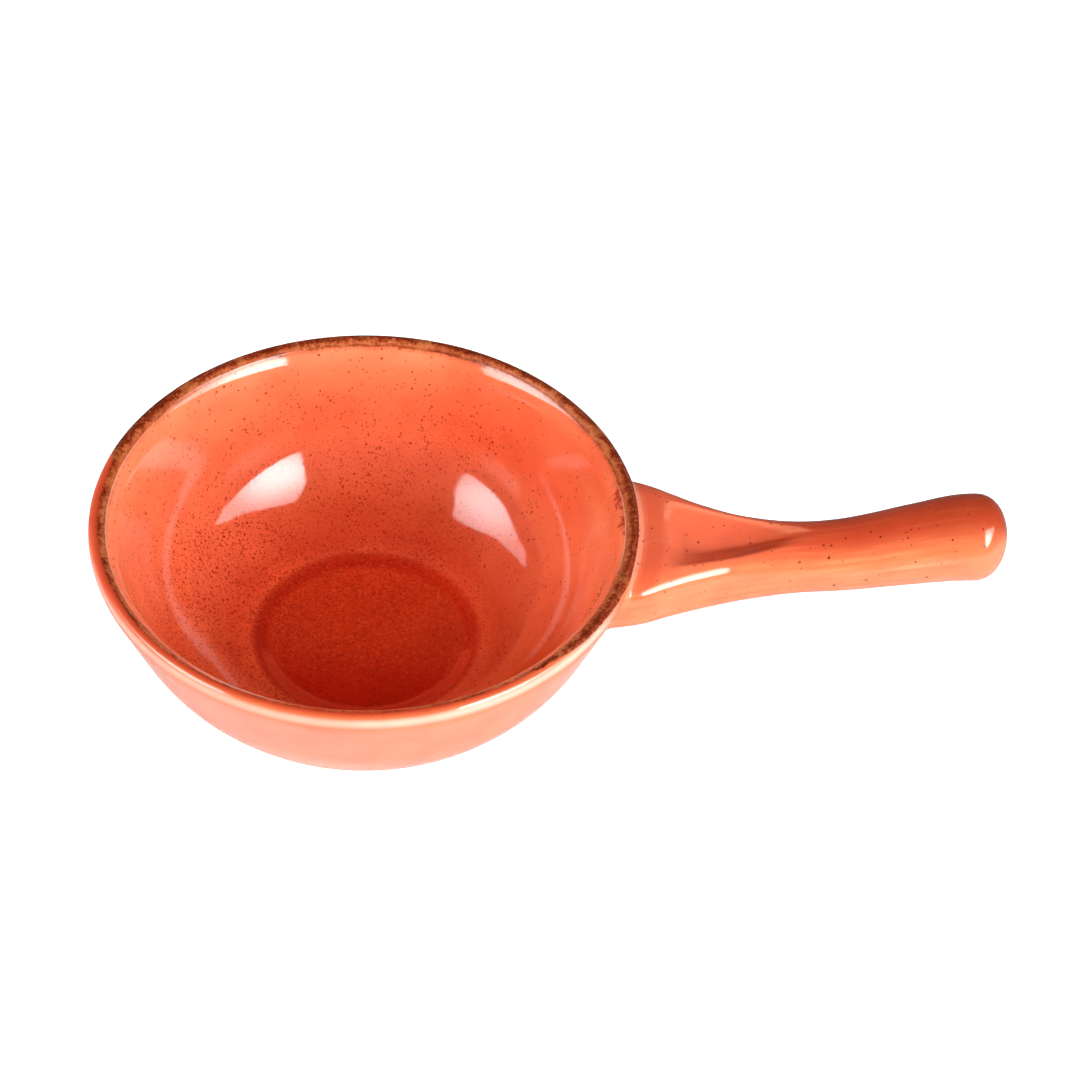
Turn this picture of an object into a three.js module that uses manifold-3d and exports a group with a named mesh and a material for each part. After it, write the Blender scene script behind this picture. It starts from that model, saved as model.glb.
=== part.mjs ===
// Shallow one-handled serving pan in glazed stoneware.
// A thrown bowl on a bare foot ring carries one hollow cast stick handle, luted to its wall.
// The clay is covered by fired glaze, with a brown oxide band over the lip.
// Millimetres, +Z up. The origin lies on the bowl's axis, on the plane that the foot ring rests on,
// and the handle points along +X.

import * as THREE from 'three';
import { mergeVertices } from 'three/addons/utils/BufferGeometryUtils.js';
import Module from 'manifold-3d';

const wasm = await Module();
wasm.setup();

// Bowl, outside
const rimRadius = 70;           // outermost radius of the rolled lip
const rimHeight = 52.3;         // top of the lip above the table
const lipRadius = 1.6;          // roll of the lip's crest and outer side
const creaseDrop = 5.6;         // from the top of the lip down to the faint crease under it
const creaseInset = 0.65;       // from the lip's outer edge in to that crease
const lipFlankDrop = 3.25;      // from the top of the lip down to where its outer side turns in
const wallTaperDegrees = 21.5;  // lean of the straight wall from upright
const wallBendHeight = 29.5;    // where the wall starts to turn in towards the foot
const baseLeanDegrees = 65;     // lean of the wall where it meets the foot ring

// Bowl, inside
const rimThickness = 6.3;       // across the wall at the crease, clay and glaze together
const lipInsideRadius = 9;      // broad rounding from the crest down to the inside wall
const insideTaperDegrees = 16;  // lean of the inside wall, so the wall thins downwards
const insideBendHeight = 31.5;  // where the inside starts to turn towards the well
const wellRadius = 28.6;        // edge of the sunk well in the floor
const wellFloorRadius = 24.5;   // flat part of the well
const wellDepth = 1.6;          // from the well's edge down to its floor
const wellEdgeLeanDegrees = 82; // lean of the inside where it reaches the well's edge
const floorThickness = 4.8;     // from the well's floor to the underside

// Foot ring, bare clay
const footRadius = 36.5;        // outer radius on the table
const footWidth = 4.6;          // across the ring
const footHeight = 2.4;         // up to where the glaze stops
const footRecess = 1.2;         // the underside inside the ring lies this far above the table
const footChamfer = 0.6;        // worn edges of the ring
const footCover = 0.5;          // how far the glazed wall's end stands out past the ring

// Glaze and the joint's slip
const glazeThickness = 0.4;     // fired coat
const layerGap = 0.03;          // between a coat and what it covers
const luteThickness = 0.8;      // slip between the handle's end and the bowl's wall
const bandInsideDrop = 1.3;     // the brown band's inner edge, below the top of the lip
const bandOutsideDrop = 0.2;    // its outer edge, on the shoulder of the lip

// Handle, over its glaze
const handleReach = 162.4;      // tip, from the bowl's axis
const rootWidth = 42.6;         // across, where it leaves the lip
const rootThickness = 15.8;
const neckWidth = 19.2;
const neckThickness = 17;
const gripWidth = 23;
const gripThickness = 21.4;
const rootDrop = 9.2;           // centre of the root below the top of the lip
const handleRise = 12.3;        // centre of the tip above the centre of the root
const tipRounding = 8.5;        // length of the rounded end
const handleWall = 3.4;         // cast clay wall of the hollow handle
const scoopStart = 78.5;        // thumb scoop on top, from the bowl's axis
const scoopLength = 34;
const scoopWidth = 18;
const scoopDepth = 3.2;
const ventRadius = 1.5;         // hole that lets air out of the hollow in the kiln
const ventReach = 86;           // its place under the handle, from the bowl's axis

// Fineness of the curved surfaces
const bowlSectors = 48;
const roundingSteps = 6;
const crestSteps = 2;
const rollSteps = 5;
const bendSteps = 6;
const handleSectors = 28;
const handleRings = 24;
const tipRings = 5;
const ventSectors = 12;
const searchHalvings = 40;      // rounds of the search for a place along the handle

// Places worked out from the sizes
const lipCentreRadius = rimRadius - lipRadius;
const lipCentreHeight = rimHeight - lipRadius;
const creaseHeight = rimHeight - creaseDrop;
const wallTaper = THREE.MathUtils.degToRad(wallTaperDegrees);
const insideTaper = THREE.MathUtils.degToRad(insideTaperDegrees);
const baseLean = THREE.MathUtils.degToRad(baseLeanDegrees);
const wellEdgeLean = THREE.MathUtils.degToRad(wellEdgeLeanDegrees);
const wellEdgeHeight = footRecess + floorThickness + wellDepth;
const wellFloorHeight = footRecess + floorThickness;
const coatDepth = glazeThickness + layerGap;

// Shares of the sizes that they follow
const outsideBendShare = 0.3455;  // of the bend's chord, which makes its curve a round arc
const insideBendShare = 0.3577;
const tipSquarenessShare = 2.3;   // 2 is a half ellipse, more is blunter
const rootSquarenessShare = 2.8;  // section of the root, a rounded slab
const gripSquarenessShare = 2;    // section of the grip, an ellipse
const scoopCrestShare = 0.22;     // of the scoop's length, where it is deepest
const scoopTaperShare = 0.8;      // of its width, lost towards the neck
const slabShare = 0.5;            // of the handle's length, where its section has become an ellipse

// One row for each place along the handle, from inside the bowl's wall to the tip.
// Shares of the length from lip to tip, of the widening from neck to root,
// of the widening from neck to grip, and of the rise. The root is no thicker inside the wall.
const handleLawShares = [
  [-0.15, 1.3, 0, 0],
  [0, 1, 0, 0],
  [0.087, 0.684, 0, 0],
  [0.173, 0.385, 0, -0.01],
  [0.281, 0.12, 0, 0.01],
  [0.411, 0, 0, 0.1],
  [0.563, 0, 0.12, 0.28],
  [0.736, 0, 0.62, 0.66],
  [0.866, 0, 0.98, 0.93],
  [1, 0, 1, 1],
];

// A point of an outline: distance from the bowl's axis, and height.
function at(radius, height) {
  return new THREE.Vector2(radius, height);
}

// A round bend between two points, leaving and arriving at the given leans from upright.
function bend(from, fromLean, to, toLean, share) {
  const reach = from.distanceTo(to) * share;
  const leaving = at(from.x - reach * Math.sin(fromLean), from.y - reach * Math.cos(fromLean));
  const arriving = at(to.x + reach * Math.sin(toLean), to.y + reach * Math.cos(toLean));
  return new THREE.CubicBezierCurve(from, leaving, arriving, to).getPoints(bendSteps);
}

// The lip's broad inner rounding touches the straight inside wall and holds the crest's roll.
const crestMiddle = at(lipCentreRadius, lipCentreHeight);
const intoBowl = at(-Math.cos(insideTaper), Math.sin(insideTaper));
const upTheWall = at(Math.sin(insideTaper), Math.cos(insideTaper));

function roundingMiddle() {
  const wallPoint = at(rimRadius - creaseInset - rimThickness, creaseHeight);
  const toWall = wallPoint.clone().sub(crestMiddle).dot(intoBowl) - lipInsideRadius;
  const down = Math.sqrt((lipInsideRadius - lipRadius) ** 2 - toWall ** 2);
  return crestMiddle.clone().addScaledVector(intoBowl, toWall).addScaledVector(upTheWall, -down);
}

// Part of a round roll, between two turns measured from straight out over the rim.
function roll(middle, radius, fromTurn, toTurn, steps) {
  const points = [];
  for (let step = 0; step <= steps; step += 1) {
    const turn = THREE.MathUtils.lerp(fromTurn, toTurn, step / steps);
    points.push(at(middle.x + radius * Math.cos(turn), middle.y + radius * Math.sin(turn)));
  }
  return points;
}

// The glazed surface as one line, from the well's centre up the inside, over the lip
// and down the outside to the foot ring.
function insideLine(wallTop) {
  const wallFoot = wallTop.x - (wallTop.y - insideBendHeight) * Math.tan(insideTaper);
  const rounded = bend(at(wallFoot, insideBendHeight), insideTaper, at(wellRadius, wellEdgeHeight),
    wellEdgeLean, insideBendShare);
  return [
    at(0, wellFloorHeight),
    at(wellFloorRadius, wellFloorHeight),
    ...rounded.reverse(),
  ];
}

function lipLine() {
  const middle = roundingMiddle();
  const shoulder = crestMiddle.clone().sub(middle).angle();
  return [
    ...roll(middle, lipInsideRadius, Math.PI - insideTaper, shoulder, roundingSteps),
    ...roll(crestMiddle, lipRadius, shoulder, Math.PI / 2, crestSteps).slice(1),
    ...roll(crestMiddle, lipRadius, Math.PI / 2, 0, rollSteps).slice(1),
  ];
}

// Radius of the straight outside wall, carried on, at a height.
function outsideRadiusAt(height) {
  return rimRadius - creaseInset - (creaseHeight - height) * Math.tan(wallTaper);
}

function outsideLine() {
  const bendStart = at(outsideRadiusAt(wallBendHeight), wallBendHeight);
  const wallEnd = at(footRadius + footCover, footHeight);
  return [
    at(rimRadius, rimHeight - lipFlankDrop),
    at(rimRadius - creaseInset, creaseHeight),
    ...bend(bendStart, wallTaper, wallEnd, baseLean, outsideBendShare),
  ];
}

// A line moved sideways: towards the clay where the distance is positive.
function shifted(line, distance) {
  return line.map((point, index) => {
    const before = line[Math.max(index - 1, 0)];
    const after = line[Math.min(index + 1, line.length - 1)];
    const arriving = point.clone().sub(before).normalize();
    const leaving = after.clone().sub(point).normalize();
    const along = arriving.clone().add(leaving).normalize();
    const straight = arriving.lengthSq() > 0 ? arriving : leaving;
    const stretch = distance / straight.dot(along);
    return at(point.x + along.y * stretch, point.y - along.x * stretch);
  });
}

// The same, with a line's first point kept on the bowl's axis.
function shiftedFromAxis(line, distance) {
  const moved = shifted(line, distance);
  moved[0] = at(0, line[0].y - distance);
  return moved;
}

// The part of a line between two lengths measured along it.
function stretchOf(line, from, to) {
  const points = [];
  let passed = 0;
  for (let index = 1; index < line.length; index += 1) {
    const length = line[index].distanceTo(line[index - 1]);
    const near = Math.max(from, passed);
    const far = Math.min(to, passed + length);
    if (far > near) {
      const start = line[index - 1].clone().lerp(line[index], (near - passed) / length);
      const end = line[index - 1].clone().lerp(line[index], (far - passed) / length);
      if (points.length === 0) points.push(start);
      points.push(end);
    }
    passed += length;
  }
  return points;
}

function lengthOf(line) {
  return line.slice(1).reduce((sum, point, index) => sum + point.distanceTo(line[index]), 0);
}

// Length along a line up to where it first rises to a height, or its whole length.
function lengthToHeight(line, height) {
  const next = line.findIndex((point) => point.y >= height);
  if (next < 1) return lengthOf(line);
  const [below, above] = [line[next - 1], line[next]];
  const share = (height - below.y) / (above.y - below.y);
  return lengthOf(line.slice(0, next)) + below.distanceTo(above) * share;
}

// Turning, joining and cutting
function turned(outline) {
  const geometry = new THREE.LatheGeometry([...outline].reverse(), bowlSectors);
  return solidOf(geometry.rotateX(Math.PI / 2));
}

// A coat between a line and its copy further into the clay.
function coat(line, shift) {
  const back = shift(line, glazeThickness).reverse();
  const outline = [...line, ...back];
  if (line[0].x > 0) outline.push(line[0].clone());
  return turned(outline);
}

function solidOf(geometry) {
  const bare = geometry.clone();
  bare.deleteAttribute('normal');
  bare.deleteAttribute('uv');
  const merged = mergeVertices(bare);
  const corners = merged.index.array;
  const kept = [];
  for (let index = 0; index < corners.length; index += 3) {
    const [a, b, c] = corners.slice(index, index + 3);
    if (a !== b && b !== c && c !== a) kept.push(a, b, c);
  }
  const mesh = new wasm.Mesh({
    numProp: 3,
    vertProperties: merged.attributes.position.array,
    triVerts: new Uint32Array(kept),
  });
  return new wasm.Manifold(mesh);
}

function geometryOf(solid) {
  const mesh = solid.getMesh();
  const geometry = new THREE.BufferGeometry();
  geometry.setAttribute('position', new THREE.BufferAttribute(mesh.vertProperties, 3));
  geometry.setIndex(new THREE.BufferAttribute(mesh.triVerts, 1));
  geometry.computeVertexNormals();
  return geometry;
}

// Bowl
const lip = lipLine();
const inside = insideLine(lip[0]);
const outside = outsideLine();
const skin = [...inside, ...lip, ...outside];

function bowlBody() {
  const clay = shiftedFromAxis(skin, coatDepth);
  const footInner = footRadius - footWidth;
  return turned([
    ...clay,
    at(footRadius, footHeight - footChamfer),
    at(footRadius, footChamfer),
    at(footRadius - footChamfer, 0),
    at(footInner + footChamfer, 0),
    at(footInner, footChamfer),
    at(footInner, footRecess),
    at(0, footRecess),
  ]);
}

// The brown band starts on the inside of the lip and ends on its outer shoulder.
const bandInner = lengthToHeight(skin, rimHeight - bandInsideDrop);
const lipTop = lengthOf([...inside, ...lip.slice(0, roundingSteps + crestSteps + 1)]);
const shoulderTurn = Math.acos(1 - bandOutsideDrop / lipRadius);
const bandOuter = lipTop + shoulderTurn * lipRadius;
const skinEnd = lengthOf(skin);

// Everything inside the clay's outer surface, grown outwards: what the handle is cut back to.
function bowlEnvelope(growth) {
  const over = shifted(stretchOf(skin, lipTop, skinEnd), coatDepth - growth);
  const top = over[0].y;
  const bottom = over[over.length - 1];
  return turned([at(0, top), ...over, at(0, bottom.y)]);
}

function innerGlaze() {
  return coat(stretchOf(skin, 0, bandInner - layerGap), shiftedFromAxis);
}

function rimBand() {
  return coat(stretchOf(skin, bandInner, bandOuter), shifted);
}

// Room that the handle's pieces leave to the band.
function rimBandRoom() {
  const line = shifted(stretchOf(skin, bandInner, bandOuter + layerGap), -layerGap);
  const back = shifted(line, coatDepth + layerGap).reverse();
  return turned([...line, ...back, line[0].clone()]);
}

function outerGlaze() {
  const whole = coat(stretchOf(skin, bandOuter + layerGap, skinEnd), shifted);
  return whole.subtract(handleForm(layerGap));
}

// Handle
const handleLength = handleReach - rimRadius;
const rootHeight = rimHeight - rootDrop;

// Where a row of the table puts the handle's section, and how wide and thick it is.
function sectionSizes([along, toRoot, toGrip, rise]) {
  const width = neckWidth + (rootWidth - neckWidth) * toRoot + (gripWidth - neckWidth) * toGrip;
  const rootGain = (rootThickness - neckThickness) * Math.min(toRoot, 1);
  const thickness = neckThickness + rootGain + (gripThickness - neckThickness) * toGrip;
  return {
    middle: new THREE.Vector3(rimRadius + handleLength * along, rootHeight + handleRise * rise, 0),
    spread: new THREE.Vector3(rimRadius + handleLength * along, width / 2, thickness / 2),
  };
}

const sections = handleLawShares.map(sectionSizes);
const middleCurve = new THREE.CatmullRomCurve3(sections.map((row) => row.middle), false, 'catmullrom');
const spreadCurve = new THREE.CatmullRomCurve3(sections.map((row) => row.spread), false, 'catmullrom');

// The curves' own measure at which the handle has come a given distance from the bowl's axis.
function measureAt(reach) {
  let low = 0;
  let high = 1;
  for (let halving = 0; halving < searchHalvings; halving += 1) {
    const middle = (low + high) / 2;
    if (middleCurve.getPoint(middle).x < reach) low = middle;
    else high = middle;
  }
  return low;
}

// How far the thumb scoop lowers the top of the handle.
function scoopAt(reach, side) {
  const along = (reach - scoopStart) / scoopLength;
  if (along <= 0 || along >= 1) return 0;
  const halfWidth = scoopWidth / 2 * (1 - scoopTaperShare * along);
  const across = Math.min(Math.abs(side) / halfWidth, 1);
  const deepening = THREE.MathUtils.smoothstep(along, 0, scoopCrestShare);
  const rising = THREE.MathUtils.smoothstep(1 - along, 0, 1 - scoopCrestShare);
  return scoopDepth * deepening * rising * (1 - across * across) ** 2;
}

function squared(value, squareness) {
  return Math.sign(value) * Math.abs(value) ** (2 / squareness);
}

// The handle's outer form, grown all round. A negative growth gives the form of what lies inside it.
function handleForm(growth) {
  const start = middleCurve.getPoint(0).x;
  const tip = handleReach + growth;
  const tipStart = handleReach - tipRounding;
  const bodyRings = handleRings - tipRings;
  const form = new THREE.SphereGeometry(1, handleSectors, handleRings);
  const places = form.attributes.position;
  const turns = form.attributes.uv;
  for (let index = 0; index < places.count; index += 1) {
    const ring = Math.round((1 - turns.getY(index)) * handleRings);
    const turn = -turns.getX(index) * 2 * Math.PI;
    const pole = ring === 0 || ring === handleRings;
    const bodyShare = THREE.MathUtils.clamp((ring - 1) / (bodyRings - 1), 0, 1);
    const tipTurn = Math.max(ring - bodyRings, 0) / tipRings * Math.PI / 2;
    const body = start + (tipStart - start) * bodyShare;
    const reach = body + (tip - tipStart) * Math.sin(tipTurn) ** (2 / tipSquarenessShare);
    const measure = measureAt(Math.min(reach, handleReach));
    const middle = middleCurve.getPoint(measure);
    const spread = spreadCurve.getPoint(measure);
    const toGrip = THREE.MathUtils.clamp((reach - rimRadius) / handleLength, 0, 1);
    const squareness = THREE.MathUtils.lerp(rootSquarenessShare, gripSquarenessShare,
      THREE.MathUtils.smoothstep(toGrip, 0, slabShare));
    const closing = pole ? 0 : Math.cos(tipTurn);
    const side = (spread.y + growth) * squared(Math.cos(turn), squareness) * closing;
    const lift = (spread.z + growth) * squared(Math.sin(turn), squareness) * closing;
    const scoop = Math.sin(turn) > 0 ? scoopAt(reach, side) : 0;
    places.setXYZ(index, reach, side, middle.y + lift - scoop);
  }
  return solidOf(form);
}

const clayForm = handleForm(-coatDepth);
const hollowForm = handleForm(-coatDepth - handleWall);
const bandRoom = rimBandRoom();

function vent() {
  const height = rimHeight;
  const hole = new THREE.CylinderGeometry(ventRadius, ventRadius, height, ventSectors);
  hole.rotateX(Math.PI / 2);
  hole.translate(ventReach, 0, rootHeight - height / 2);
  return solidOf(hole);
}

function handleShell() {
  const cut = bowlEnvelope(luteThickness + layerGap);
  return clayForm.subtract(hollowForm).subtract(cut).subtract(bandRoom).subtract(vent());
}

function handleLute() {
  const slice = clayForm.intersect(bowlEnvelope(luteThickness));
  return slice.subtract(bowlEnvelope(layerGap)).subtract(hollowForm).subtract(bandRoom);
}

function handleGlaze() {
  const cover = handleForm(0).subtract(handleForm(-glazeThickness));
  return cover.subtract(bowlEnvelope(layerGap)).subtract(bandRoom).subtract(vent());
}

// Finishes
const clay = { color: 0xd9c3a3, roughness: 0.85, metalness: 0 };
const slip = { color: 0xcdb592, roughness: 0.9, metalness: 0 };
const insideOrange = { color: 0xe2593a, roughness: 0.16, metalness: 0 };
const outsideOrange = { color: 0xf28a62, roughness: 0.18, metalness: 0 };
const bandBrown = { color: 0x7a3a1c, roughness: 0.22, metalness: 0 };

function piece(name, solid, finish) {
  const mesh = new THREE.Mesh(geometryOf(solid), new THREE.MeshStandardMaterial(finish));
  mesh.name = name;
  return mesh;
}

const pan = new THREE.Group();
pan.add(
  piece('bowl_body', bowlBody(), clay),
  piece('inner_glaze', innerGlaze(), insideOrange),
  piece('rim_band', rimBand(), bandBrown),
  piece('outer_glaze', outerGlaze(), outsideOrange),
  piece('handle_shell', handleShell(), clay),
  piece('handle_lute', handleLute(), slip),
  piece('handle_glaze', handleGlaze(), outsideOrange),
);

export default pan;
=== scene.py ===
import math
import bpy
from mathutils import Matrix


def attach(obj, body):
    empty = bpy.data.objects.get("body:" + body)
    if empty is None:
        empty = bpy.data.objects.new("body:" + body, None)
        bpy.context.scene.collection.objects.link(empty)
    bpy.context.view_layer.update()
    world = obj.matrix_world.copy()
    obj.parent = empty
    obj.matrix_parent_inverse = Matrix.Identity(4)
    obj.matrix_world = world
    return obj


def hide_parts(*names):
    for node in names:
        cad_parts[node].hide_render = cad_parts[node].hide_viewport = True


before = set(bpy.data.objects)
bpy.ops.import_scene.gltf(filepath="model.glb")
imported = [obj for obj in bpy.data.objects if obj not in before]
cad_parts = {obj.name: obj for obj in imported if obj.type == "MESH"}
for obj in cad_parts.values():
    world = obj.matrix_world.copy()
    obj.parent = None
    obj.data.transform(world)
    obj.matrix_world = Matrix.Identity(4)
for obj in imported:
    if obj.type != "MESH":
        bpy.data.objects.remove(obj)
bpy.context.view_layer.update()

from types import SimpleNamespace

import bmesh
import bpy
import numpy as np
from mathutils import Matrix, Vector, noise

# Bowl body
# The bowl is one thick thrown body of buff stoneware clay, fired under its glaze.
# Only its foot ring and the recess inside the ring stay bare, wiped clean of glaze so that
# the bowl doesn't stick to the kiln's shelf.
MM = 0.001
RIM_RADIUS = 70.0  # outermost radius of the lip
RIM_HEIGHT = 52.3  # top of the lip above the table
LIP_ROLL = 2.0  # roll of the lip's crest and outer side
LIP_INSIDE = 9.0  # broad rounding from the crest down to the inside wall
RIM_THICKNESS = 6.3  # across the wall at the crease
CREASE_DROP = 5.6  # faint crease under the lip, below its top
CREASE_INSET = 0.65
FLANK_DROP = 3.25  # where the lip's outer side starts to turn in
OUTSIDE_LEAN = 21.5  # degrees from upright
INSIDE_LEAN = 16.0
OUTSIDE_BEND = (29.5, 65.0, 0.3455)  # height, lean at the foot, share of the chord
INSIDE_BEND = (31.5, 82.0, 0.3577)  # height, lean at the well, share of the chord
EASED_WALL = (12.0, 44.0)  # heights between which the inside was thrown without a break
WELL_EDGE = (28.6, 7.6)
WELL_FLOOR = (24.5, 6.0)
FOOT = {"radius": 36.5, "width": 4.6, "height": 2.4, "recess": 1.2, "cover": 0.5,
        "outer_lean": 0.1, "inner_lean": 0.4, "outer_edge": 0.9, "inner_edge": 0.8, "corner": 0.5}
CORNERS = {"floor": 1.5, "well": 0.7, "flank": 1.0, "crease": 1.1}  # how far each is eased
ROUND_STEPS, ROLL_STEPS, BEND_STEPS = 30, 26, 40  # in the lip's arcs and each bend
GLAZE = 0.4  # fired coat
COAT_GAP = 0.03  # between a coat and what it covers
LONGEST_STEP = 1.1  # between two points of an outline
BARE_STEP = 2.5  # the same under the foot
CLAY_STEPS = 144  # round the bowl
SAME_POINT = 0.002  # points that lie closer are one
UNEVEN = 0.045  # how far the fired surface wanders from the true form
UNEVEN_LENGTH = 17.0
FINER_LENGTH, FINER_SHARE = 0.42, 0.35  # a finer layer of the same
FINER_SHIFT = Vector((7.3, 1.9, 4.1))
SMOOTH_UP_TO = 40.0  # degrees between two faces that are shaded as one
CLAY_GLOSS = (0.86, 1.5)  # roughness and index of refraction
CLAY_TINTS = {"pale": (226, 204, 170), "dark": (201, 174, 136),
              "grit": (150, 118, 84), "iron": (96, 58, 36)}


def arc(middle, radius, start, end, steps):
    """Points of a round arc; the turns are in degrees from straight outwards."""
    turns = [math.radians(start + (end - start) * i / steps) for i in range(steps + 1)]
    return [(middle[0] + radius * math.cos(t), middle[1] + radius * math.sin(t)) for t in turns]


def bend(start, start_lean, end, end_lean, share, steps):
    """Points of a soft bend that leaves and arrives at the given leans from upright."""
    reach = math.dist(start, end) * share
    a, b = math.radians(start_lean), math.radians(end_lean)
    ends = [start, (start[0] - reach * math.sin(a), start[1] - reach * math.cos(a)),
            (end[0] + reach * math.sin(b), end[1] + reach * math.cos(b)), end]
    points = []
    for i in range(steps + 1):
        t = i / steps
        weights = ((1 - t) ** 3, 3 * t * (1 - t) ** 2, 3 * t * t * (1 - t), t ** 3)
        points.append(tuple(sum(w * p[k] for w, p in zip(weights, ends)) for k in (0, 1)))
    return points


def softened(before, corner, after, reach, steps=6):
    """A corner eased over a short reach on both of its sides."""
    def towards(target):
        share = reach / math.dist(corner, target)
        return tuple(c + (t - c) * share for c, t in zip(corner, target))
    a, b = towards(before), towards(after)
    return [tuple((1 - t) ** 2 * a[k] + 2 * t * (1 - t) * corner[k] + t * t * b[k] for k in (0, 1))
            for t in (i / steps for i in range(steps + 1))]


def divided(line, longest=LONGEST_STEP):
    """The same line with its long stretches cut into short ones."""
    points = [line[0]]
    for a, b in zip(line, line[1:]):
        count = max(1, math.ceil(math.dist(a, b) / longest))
        points += [tuple(a[k] + (b[k] - a[k]) * i / count for k in (0, 1))
                   for i in range(1, count + 1)]
    return points


def glazed_outline():
    """The glazed surface as one line: well, inside wall, lip, outside wall, foot ring."""
    crease = (RIM_RADIUS - CREASE_INSET, RIM_HEIGHT - CREASE_DROP)
    crest = (RIM_RADIUS - LIP_ROLL, RIM_HEIGHT - LIP_ROLL)
    lean = math.radians(INSIDE_LEAN)
    into, up = (-math.cos(lean), math.sin(lean)), (math.sin(lean), math.cos(lean))
    wall = (crease[0] - RIM_THICKNESS - crest[0], crease[1] - crest[1])
    to_wall = wall[0] * into[0] + wall[1] * into[1] - LIP_INSIDE
    down = math.sqrt((LIP_INSIDE - LIP_ROLL) ** 2 - to_wall ** 2)
    middle = tuple(crest[k] + into[k] * to_wall - up[k] * down for k in (0, 1))
    shoulder = math.degrees(math.atan2(crest[1] - middle[1], crest[0] - middle[0]))
    rounding = arc(middle, LIP_INSIDE, 180 - INSIDE_LEAN, shoulder, ROUND_STEPS)
    wall_foot = (rounding[0][0] - (rounding[0][1] - INSIDE_BEND[0]) * math.tan(lean), INSIDE_BEND[0])
    inside_bend = bend(wall_foot, INSIDE_LEAN, WELL_EDGE, *INSIDE_BEND[1:], BEND_STEPS)[::-1]
    well = softened((0, WELL_FLOOR[1]), WELL_FLOOR, WELL_EDGE, CORNERS["floor"])
    well += softened(WELL_FLOOR, WELL_EDGE, inside_bend[1], CORNERS["well"])
    outside = math.tan(math.radians(OUTSIDE_LEAN))
    wall_end = (crease[0] - (crease[1] - OUTSIDE_BEND[0]) * outside, OUTSIDE_BEND[0])
    foot = (FOOT["radius"] + FOOT["cover"], FOOT["height"])
    flank = (RIM_RADIUS, RIM_HEIGHT - FLANK_DROP)
    roll = arc(crest, LIP_ROLL, shoulder, 0, ROLL_STEPS)
    outer = softened(roll[-1], flank, crease, CORNERS["flank"])
    outer += softened(flank, crease, wall_end, CORNERS["crease"])
    outer += bend(wall_end, OUTSIDE_LEAN, foot, *OUTSIDE_BEND[1:], BEND_STEPS)
    return divided([(0, WELL_FLOOR[1]), *well, *inside_bend[1:], *rounding, *roll[1:], *outer])


def eased_wall(line, low, high, passes=24):
    """The inside wall between two heights, run together from the bend to the straight."""
    line = list(line)
    top = max(range(len(line)), key=lambda i: line[i][1])
    wall = [i for i in range(1, top) if low < line[i][1] < high and line[i][0] > WELL_EDGE[0]]
    for _ in range(passes):
        for i in wall:
            line[i] = tuple((line[i - 1][k] + 2 * line[i][k] + line[i + 1][k]) / 4 for k in (0, 1))
    return line


# The outline, the way it faces, and the length along it from the middle of the well: about
# 29 at the edge of the well, and 92 on top of the lip.
skin = np.array(eased_wall(glazed_outline(), *EASED_WALL))
skin_length = np.append(0, np.cumsum(np.linalg.norm(np.diff(skin, axis=0), axis=1)))
skin_end = skin_length[-1]
run = np.gradient(skin, axis=0)
run /= np.linalg.norm(run, axis=1)[:, None]
skin_facing = np.stack((-run[:, 1], run[:, 0]), axis=1)


def skin_at(length):
    """Place on the glazed outline, and the direction that faces away from the clay."""
    place, facing = (np.array([np.interp(length, skin_length, column) for column in table.T])
                     for table in (skin, skin_facing))
    return place, facing / np.linalg.norm(facing)


def covered(lengths, depth):
    """Outline points that lie a depth under the glazed surface."""
    points = []
    for length in lengths:
        place, facing = skin_at(length)
        points.append((max(place[0] - facing[0] * depth, 0), place[1] - facing[1] * depth,
                       length, facing))
    return points


def uneven(place):
    """How far the fired surface stands off the true form at a place, in metres."""
    low = noise.noise(place / (UNEVEN_LENGTH * MM))
    fine = noise.noise(place / (UNEVEN_LENGTH * FINER_LENGTH * MM) + FINER_SHIFT)
    return (low + FINER_SHARE * fine) * UNEVEN * MM


def placed(name, form, smooth=False):
    """A finished form as an object of the scene."""
    mesh = bpy.data.meshes.new(name)
    form.to_mesh(mesh)
    form.free()
    mesh.polygons.foreach_set("use_smooth", [smooth] * len(mesh.polygons))
    piece = bpy.data.objects.new(name, mesh)
    bpy.context.scene.collection.objects.link(piece)
    return piece


def turned(name, outline, steps, closed):
    """An outline turned round the bowl's axis. Each point is (radius, height, length, facing)."""
    form = bmesh.new()
    length_layer = form.verts.layers.float.new("skin_mm")
    out_layer = form.verts.layers.float.new("facing_out")
    up_layer = form.verts.layers.float.new("facing_up")
    verts = []
    for radius, height, length, facing in outline:
        vert = form.verts.new((radius * MM, 0, height * MM))
        vert[length_layer], vert[out_layer], vert[up_layer] = length, facing[0], facing[1]
        verts.append(vert)
    edges = [form.edges.new(pair) for pair in zip(verts, verts[1:])]
    if closed:
        edges.append(form.edges.new((verts[-1], verts[0])))
    bmesh.ops.spin(form, geom=verts + edges, cent=(0, 0, 0), axis=(0, 0, 1), angle=2 * math.pi,
                   steps=steps, use_merge=True)
    bmesh.ops.remove_doubles(form, verts=form.verts, dist=SAME_POINT * MM)
    bmesh.ops.recalc_face_normals(form, faces=form.faces)
    for vert in form.verts:
        across = Vector((vert.co.x, vert.co.y, 0))
        across = across.normalized() if across.length > 0.01 * MM else Vector((0, 0, 0))
        facing = across * vert[out_layer] + Vector((0, 0, vert[up_layer]))
        vert.co += facing * uneven(vert.co)
    piece = placed(name, form, smooth=True)
    piece.data.set_sharp_from_angle(angle=math.radians(SMOOTH_UP_TO))
    return piece


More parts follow.
